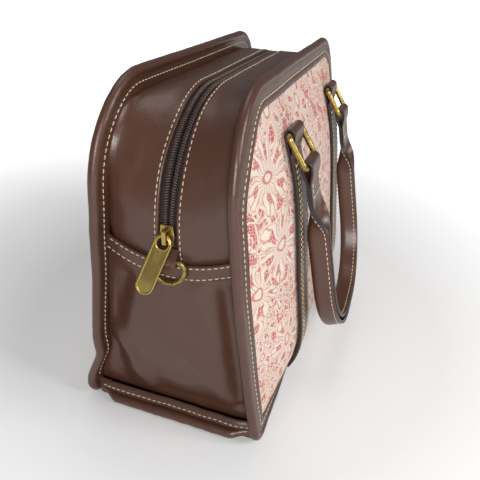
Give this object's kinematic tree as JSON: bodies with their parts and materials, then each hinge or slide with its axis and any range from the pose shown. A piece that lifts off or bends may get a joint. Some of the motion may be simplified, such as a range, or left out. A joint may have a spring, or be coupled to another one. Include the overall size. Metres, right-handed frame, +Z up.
{
  "type": "handbag",
  "caption": "Structured handbag with arched cloth panels, rolled leather edges, a zip over the top, hanging handles on rings and a D-ring at each end.",
  "frame": {"origin": "middle of the base on the surface that the bag stands on", "axes": "+X along the bag away from the closed end of the zip, -Y the front panel, +Z up"},
  "size_m": [0.3161, 0.2238, 0.2476],
  "materials": {
    "leather": "smooth dark brown, low sheen",
    "printed_cloth": "cream lace on coral cloth",
    "brass": "antique, polished edges",
    "zip_tape": "woven tape",
    "zip_coil": "nylon coil, slight sheen",
    "lining": "plain woven lining",
    "board": "pressed board"
  },
  "bodies": {
    "bag": {"front_panel": "printed_cloth", "rear_panel": "printed_cloth", "front_binding": "leather", "rear_binding": "leather", "base_panel": "leather", "base_board": "board", "end_binding_left": "leather", "end_binding_right": "leather", "end_gusset_left": "leather", "end_gusset_right": "leather", "zip_gusset_front": "leather", "zip_gusset_rear": "leather", "lining": "lining", "zip_tape_front": "zip_tape", "zip_tape_rear": "zip_tape", "zip_teeth_front": "zip_coil", "zip_teeth_rear": "zip_coil", "zip_stop_left": "brass", "zip_stop_right": "brass", "d_ring_tab_left": "leather", "d_ring_tab_right": "leather", "front_strap_left": "leather", "front_strap_right": "leather", "rear_strap_left": "leather", "rear_strap_right": "leather"},
    "zip_slider": {"zip_slider": "brass"},
    "zip_pull": {"zip_pull": "brass"},
    "d_ring_left": {"d_ring_left": "brass"},
    "d_ring_right": {"d_ring_right": "brass"},
    "front_ring_left": {"front_ring_left": "brass"},
    "front_ring_right": {"front_ring_right": "brass"},
    "front_handle": {"front_handle": "leather"},
    "rear_ring_left": {"rear_ring_left": "brass"},
    "rear_ring_right": {"rear_ring_right": "brass"},
    "rear_handle": {"rear_handle": "leather"}
  },
  "joints": [
    {"name": "zip_run", "type": "hinge", "parent": "bag", "child": "zip_slider", "pos_m": [-0.067, 0, 0.1588], "axis": [0, 1, 0], "range_deg": [0, 90]},
    {"name": "zip_pull_swing", "type": "hinge", "parent": "zip_slider", "child": "zip_pull", "pos_m": [-0.14722, 0, 0.1588], "axis": [0, 0.9511, 0.309], "range_deg": [0, 140]},
    {"name": "d_ring_left_swing", "type": "hinge", "parent": "bag", "child": "d_ring_left", "pos_m": [-0.14755, 0, 0.142], "axis": [0, 1, 0], "range_deg": [0, 29]},
    {"name": "d_ring_right_swing", "type": "hinge", "parent": "bag", "child": "d_ring_right", "pos_m": [0.14755, 0, 0.142], "axis": [0, -1, 0], "range_deg": [0, 150]},
    {"name": "front_ring_left_swing", "type": "hinge", "parent": "bag", "child": "front_ring_left", "pos_m": [-0.07, -0.05751, 0.2108], "axis": [-1, 0, 0], "range_deg": [0, 147]},
    {"name": "front_ring_right_swing", "type": "hinge", "parent": "bag", "child": "front_ring_right", "pos_m": [0.07, -0.05751, 0.2108], "axis": [-1, 0, 0], "range_deg": [0, 147]},
    {"name": "front_handle_swing", "type": "hinge", "parent": "front_ring_left", "child": "front_handle", "pos_m": [-0.07, -0.07058, 0.19067], "axis": [-1, 0, 0], "range_deg": [0, 35]},
    {"name": "rear_ring_left_swing", "type": "hinge", "parent": "bag", "child": "rear_ring_left", "pos_m": [-0.07, 0.05751, 0.2108], "axis": [1, 0, 0], "range_deg": [0, 147]},
    {"name": "rear_ring_right_swing", "type": "hinge", "parent": "bag", "child": "rear_ring_right", "pos_m": [0.07, 0.05751, 0.2108], "axis": [1, 0, 0], "range_deg": [0, 147]},
    {"name": "rear_handle_swing", "type": "hinge", "parent": "rear_ring_left", "child": "rear_handle", "pos_m": [-0.07, 0.07058, 0.19067], "axis": [1, 0, 0], "range_deg": [0, 35]}
  ],
  "couplings": [
    {"joint": "front_ring_right_swing", "follows": "front_ring_left_swing", "ratio": 1},
    {"joint": "rear_ring_right_swing", "follows": "rear_ring_left_swing", "ratio": 1}
  ]
}
